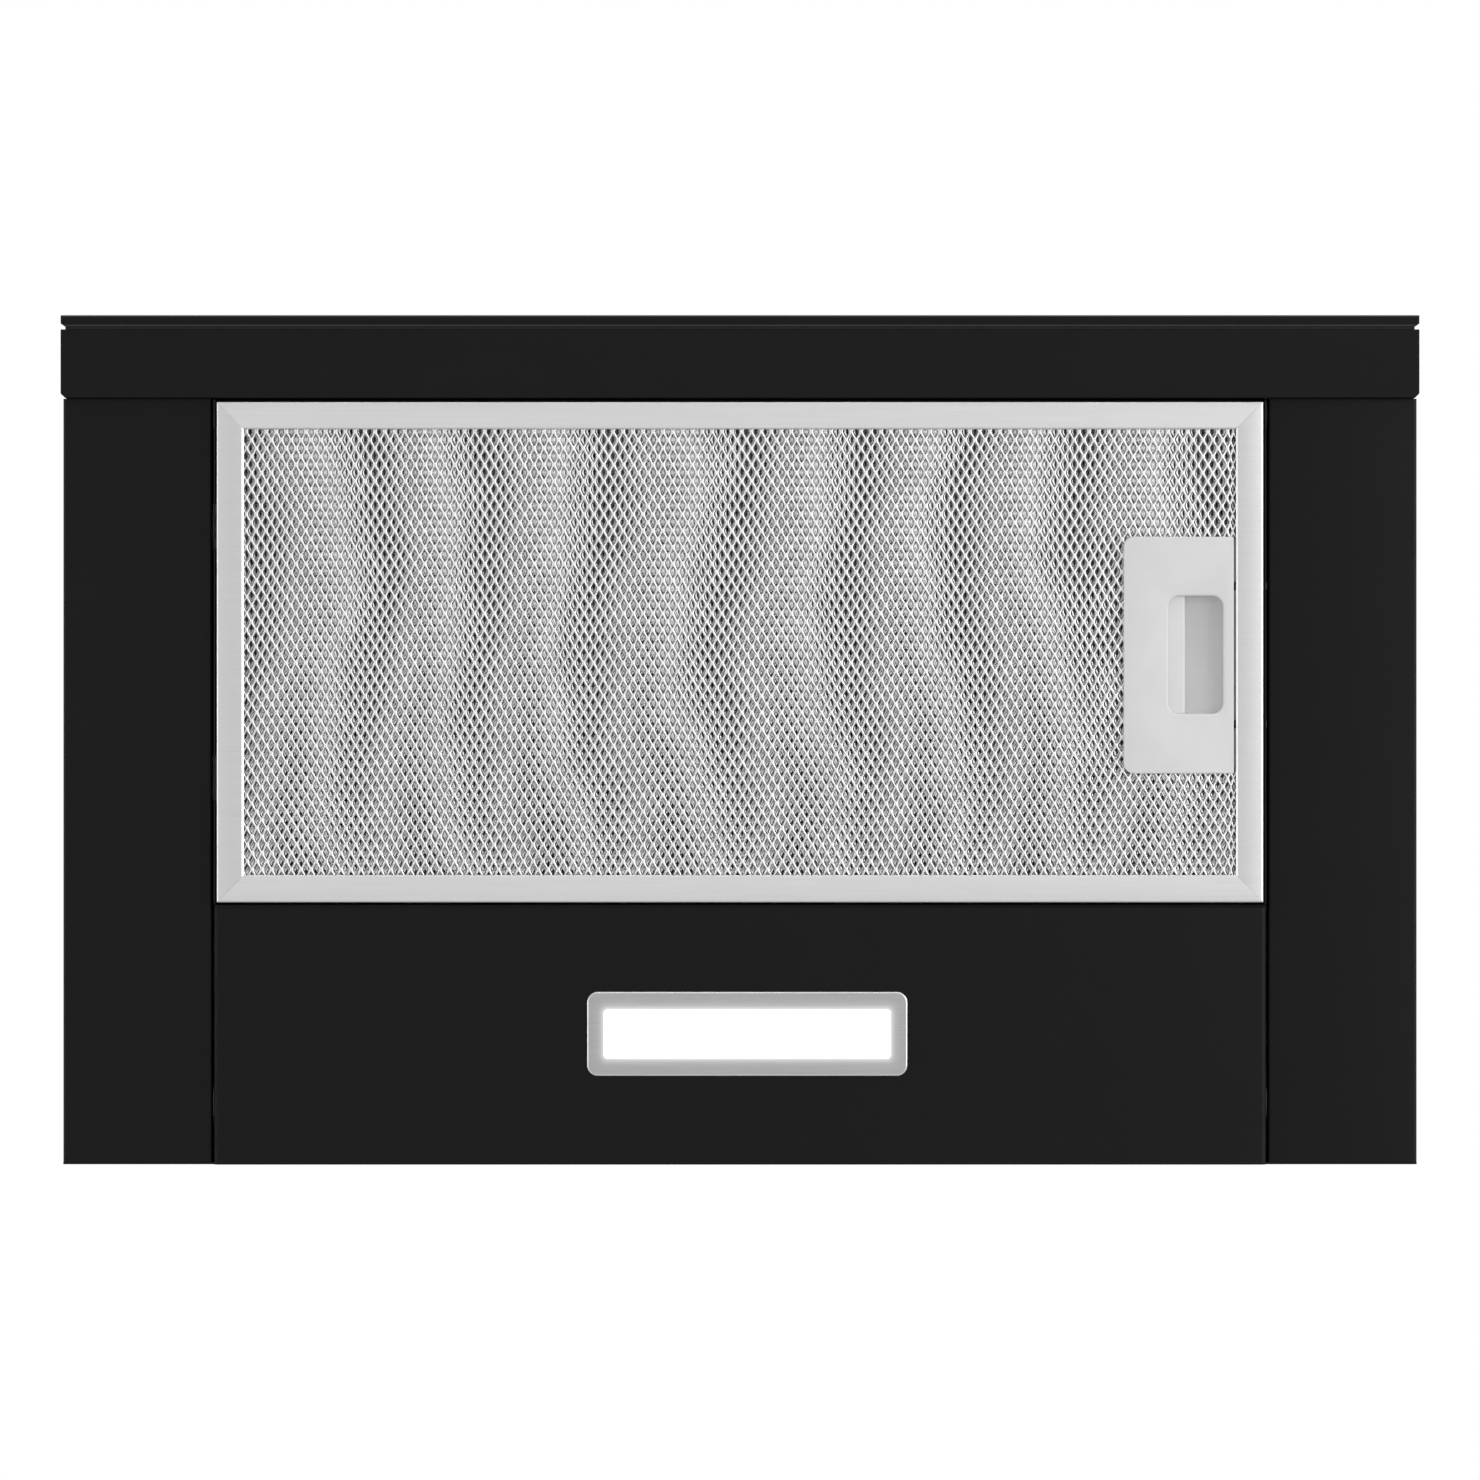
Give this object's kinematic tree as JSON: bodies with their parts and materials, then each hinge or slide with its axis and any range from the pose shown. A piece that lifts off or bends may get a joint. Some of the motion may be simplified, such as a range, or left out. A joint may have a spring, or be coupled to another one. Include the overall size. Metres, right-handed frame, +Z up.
{
  "type": "telescopic range hood",
  "caption": "Telescopic kitchen range hood with a pull-out front, a drop-down grease filter, a lamp and a duct collar.",
  "frame": {"origin": "centre of the underside, on the plane of the front trim's lower edge", "axes": "+X to the right seen from the front, -Y out of the front, +Z up to the duct collar"},
  "size_m": [0.6, 0.3752, 0.225],
  "materials": {
    "painted_metal": "satin",
    "trim_metal": "satin",
    "galvanised": "satin",
    "slide_steel": "gloss",
    "screw_steel": "gloss",
    "filter_aluminium": "brushed",
    "mesh_aluminium": "satin",
    "latch_plastic": "satin",
    "bezel_steel": "brushed",
    "lens_glow": "gloss",
    "circuit_board": "satin",
    "rubber": "matte",
    "winding_copper": "satin",
    "shaft_steel": "gloss",
    "bush_bronze": "satin",
    "light_plastic": "satin",
    "dark_plastic": "satin",
    "button_metal": "brushed"
  },
  "bodies": {
    "body": {"side_panel_left": "painted_metal", "side_panel_right": "painted_metal", "bottom_pan": "painted_metal", "back_panel": "painted_metal", "deck_plate": "galvanised", "cross_rails": "galvanised", "box_frame": "galvanised", "motor_box": "galvanised", "mounting_bracket_left": "galvanised", "mounting_bracket_right": "galvanised", "slide_outer_left": "slide_steel", "slide_outer_right": "slide_steel", "collar_flange": "dark_plastic", "duct_collar": "dark_plastic", "blower_scroll": "galvanised", "scroll_cover": "galvanised", "inlet_guard": "galvanised", "motor_can": "galvanised", "stator": "winding_copper", "motor_bracket": "galvanised", "motor_grommets": "rubber", "bearing_bushes": "bush_bronze", "capacitor": "light_plastic", "terminal_box": "dark_plastic", "terminal_lid": "dark_plastic", "led_driver": "light_plastic", "cable_gland": "rubber", "lamp_bezel": "bezel_steel", "lamp_lens": "lens_glow", "lamp_housing": "galvanised", "lamp_led_board": "circuit_board", "drawer_switch": "dark_plastic", "body_screws": "screw_steel"},
    "drawer": {"front_trim": "trim_metal", "trim_gasket": "rubber", "front_profile": "painted_metal", "drawer_pan": "painted_metal", "visor_plate": "painted_metal", "drawer_arm_left": "painted_metal", "drawer_arm_right": "painted_metal", "slide_inner_left": "slide_steel", "slide_inner_right": "slide_steel", "extension_frame": "filter_aluminium", "extension_mesh": "mesh_aluminium", "control_board": "circuit_board", "drawer_screws": "screw_steel"},
    "cages": {"ball_cages": "slide_steel"},
    "filter": {"filter_frame": "filter_aluminium", "filter_mesh": "mesh_aluminium", "latch_housing": "latch_plastic", "latch_springs": "screw_steel"},
    "latch": {"latch_slider": "latch_plastic"},
    "rotor": {"impeller": "dark_plastic", "motor_rotor": "shaft_steel"},
    "flap_front": {"damper_flap_front": "dark_plastic"},
    "flap_rear": {"damper_flap_rear": "dark_plastic"},
    "key_off": {"button_off": "button_metal"},
    "key_low": {"button_low": "button_metal"},
    "key_high": {"button_high": "button_metal"},
    "key_lamp": {"button_lamp": "button_metal"}
  },
  "joints": [
    {"name": "drawer_slide", "type": "slide", "parent": "body", "child": "drawer", "axis": [0, -1, 0], "range_m": [0, 0.17]},
    {"name": "cage_slide", "type": "slide", "parent": "body", "child": "cages", "axis": [0, -1, 0], "range_m": [0, 0.085]},
    {"name": "filter_drop", "type": "hinge", "parent": "body", "child": "filter", "pos_m": [-0.23125, -0.0388, 0.0005], "axis": [0, 1, 0], "range_deg": [0, 75]},
    {"name": "latch_pull", "type": "slide", "parent": "filter", "child": "latch", "axis": [-1, 0, 0], "range_m": [0, 0.005], "stiffness_N_per_m": 400, "springref_m": -0.003, "deforming": ["latch_springs"]},
    {"name": "impeller_spin", "type": "hinge", "parent": "body", "child": "rotor", "pos_m": [0, 0.015, 0.106], "axis": [1, 0, 0], "continuous": true},
    {"name": "flap_front_lift", "type": "hinge", "parent": "body", "child": "flap_front", "pos_m": [0, 0.052, 0.1892], "axis": [-1, 0, 0], "range_deg": [0, 75]},
    {"name": "flap_rear_lift", "type": "hinge", "parent": "body", "child": "flap_rear", "pos_m": [0, 0.058, 0.1892], "axis": [1, 0, 0], "range_deg": [0, 75]},
    {"name": "press_off", "type": "slide", "parent": "drawer", "child": "key_off", "axis": [0, 1, 0], "range_m": [0, 0.002], "stiffness_N_per_m": 700, "springref_m": -0.001},
    {"name": "press_low", "type": "slide", "parent": "drawer", "child": "key_low", "axis": [0, 1, 0], "range_m": [0, 0.002], "stiffness_N_per_m": 700, "springref_m": -0.001},
    {"name": "press_high", "type": "slide", "parent": "drawer", "child": "key_high", "axis": [0, 1, 0], "range_m": [0, 0.002], "stiffness_N_per_m": 700, "springref_m": -0.001},
    {"name": "press_lamp", "type": "slide", "parent": "drawer", "child": "key_lamp", "axis": [0, 1, 0], "range_m": [0, 0.002], "stiffness_N_per_m": 700, "springref_m": -0.001}
  ],
  "couplings": [
    {"joint": "cage_slide", "follows": "drawer_slide", "ratio": 0.5}
  ]
}
